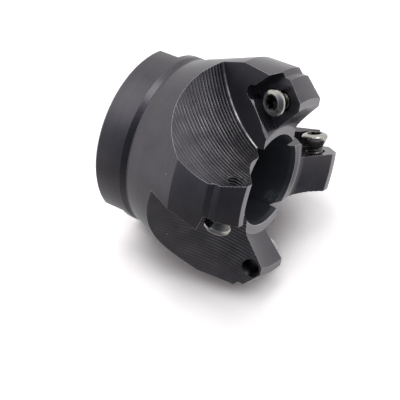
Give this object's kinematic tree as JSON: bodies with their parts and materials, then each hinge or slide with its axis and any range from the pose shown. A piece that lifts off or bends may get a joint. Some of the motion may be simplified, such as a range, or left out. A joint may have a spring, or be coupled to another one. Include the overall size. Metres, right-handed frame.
{
  "type": "face mill",
  "caption": "Shell face mill with square-insert pockets at 45 degrees, an arbor bore with drive slots, and an insert screw part of the way into each empty pocket.",
  "frame": {"origin": "centre of the mounting face", "axes": "+Z along the tool axis from the mounting face to the teeth; the drive slots run along Y"},
  "size_m": [0.0596, 0.0596, 0.0457],
  "materials": {
    "cutter_body": "blackened tool steel, satin",
    "insert_screw": "bright, lightly worn"
  },
  "bodies": {
    "root": {"cutter_body": "cutter_body", "insert_screw_1": "insert_screw", "insert_screw_2": "insert_screw", "insert_screw_3": "insert_screw", "insert_screw_4": "insert_screw"}
  },
  "joints": []
}
